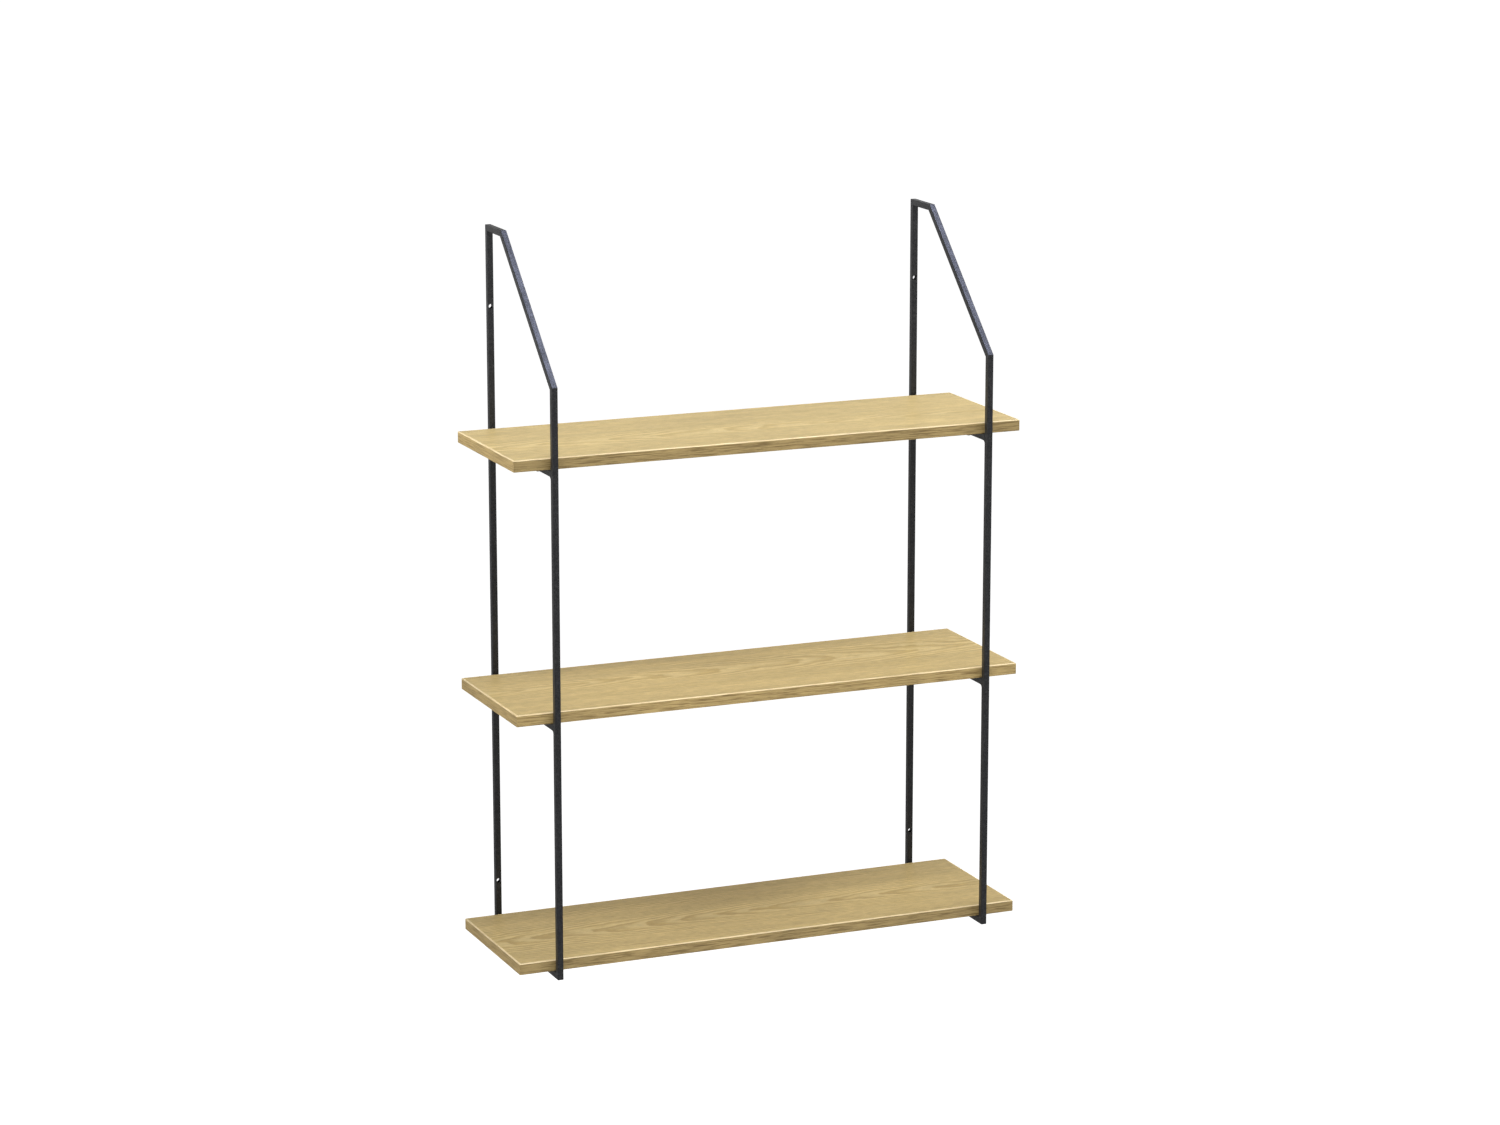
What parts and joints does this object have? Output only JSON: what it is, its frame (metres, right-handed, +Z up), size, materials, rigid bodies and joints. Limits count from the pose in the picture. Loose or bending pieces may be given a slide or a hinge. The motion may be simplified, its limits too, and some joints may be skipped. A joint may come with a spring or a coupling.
{
  "type": "wall shelf with brackets",
  "caption": "Open wall shelf: oak-look boards screwed onto two tall bracket frames of slim black square tube, with a sloped upper front corner.",
  "frame": {"origin": "centre of the four wall holes, on the wall plane that the back posts bear on", "axes": "+X along the boards, +Y into the wall, +Z up; the front of the shelf is at -Y"},
  "size_m": [0.7, 0.24, 0.9432],
  "materials": {
    "frame_steel": "fine-textured matt black powder coat",
    "oak_face": "matt oak-look laminate, grain along the board",
    "oak_edge": "matt oak-look edge banding with a pale arris",
    "screw_black": "black oxide"
  },
  "bodies": {
    "root": {"left_back_post": "frame_steel", "left_top_bar": "frame_steel", "left_sloping_bar": "frame_steel", "left_front_post": "frame_steel", "left_bottom_bar": "frame_steel", "left_middle_crossbar": "frame_steel", "left_top_crossbar": "frame_steel", "right_back_post": "frame_steel", "right_top_bar": "frame_steel", "right_sloping_bar": "frame_steel", "right_front_post": "frame_steel", "right_bottom_bar": "frame_steel", "right_middle_crossbar": "frame_steel", "right_top_crossbar": "frame_steel", "bottom_board": "oak_face", "bottom_front_band": "oak_edge", "bottom_back_band": "oak_edge", "bottom_left_band": "oak_edge", "bottom_right_band": "oak_edge", "bottom_board_screws": "screw_black", "middle_board": "oak_face", "middle_front_band": "oak_edge", "middle_back_band": "oak_edge", "middle_left_band": "oak_edge", "middle_right_band": "oak_edge", "middle_board_screws": "screw_black", "top_board": "oak_face", "top_front_band": "oak_edge", "top_back_band": "oak_edge", "top_left_band": "oak_edge", "top_right_band": "oak_edge", "top_board_screws": "screw_black"}
  },
  "joints": []
}
